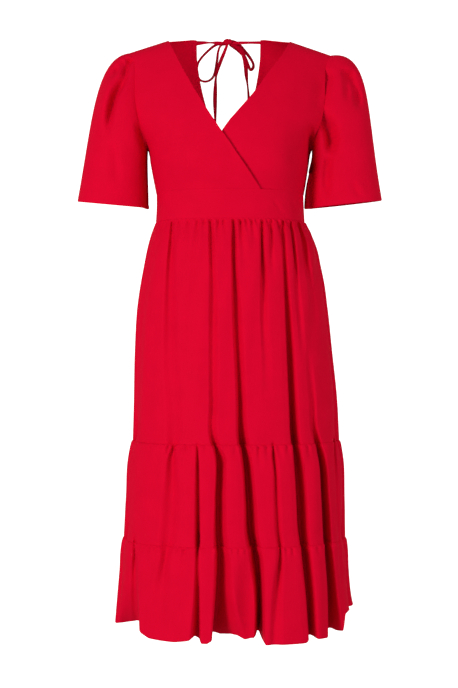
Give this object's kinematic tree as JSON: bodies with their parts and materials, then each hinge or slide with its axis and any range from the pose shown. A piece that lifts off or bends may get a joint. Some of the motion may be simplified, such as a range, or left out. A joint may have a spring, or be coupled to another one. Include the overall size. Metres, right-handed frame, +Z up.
{
  "type": "a-line midi dress",
  "caption": "Knee-covering A-line dress with a V-shaped wrap front, puffed elbow sleeves, a waistband, a gathered tiered skirt and an open back with a bow.",
  "frame": {"origin": "midway between the two shoulder seams at half their height, where a wearer's shoulders hold the dress", "axes": "+Z up, the front faces -Y, +X to the wearer's left"},
  "size_m": [0.6078, 0.3671, 1.1871],
  "materials": {
    "crepe": "matt crepe with a faint sheen",
    "tie": "the same crepe, folded double"
  },
  "bodies": {
    "root": {"bodice_front_right": "crepe", "bodice_front_left": "crepe", "bodice_back": "crepe", "waistband_front": "crepe", "waistband_back": "crepe", "skirt_upper_front": "crepe", "skirt_upper_back": "crepe", "skirt_middle_front": "crepe", "skirt_middle_back": "crepe", "skirt_lower_front": "crepe", "skirt_lower_back": "crepe", "sleeve_right": "crepe", "sleeve_left": "crepe", "tie_strap_right": "tie", "tie_strap_left": "tie", "tie_loop_right": "tie", "tie_loop_left": "tie", "tie_tail_right": "tie", "tie_tail_left": "tie", "tie_knot": "tie"}
  },
  "joints": []
}
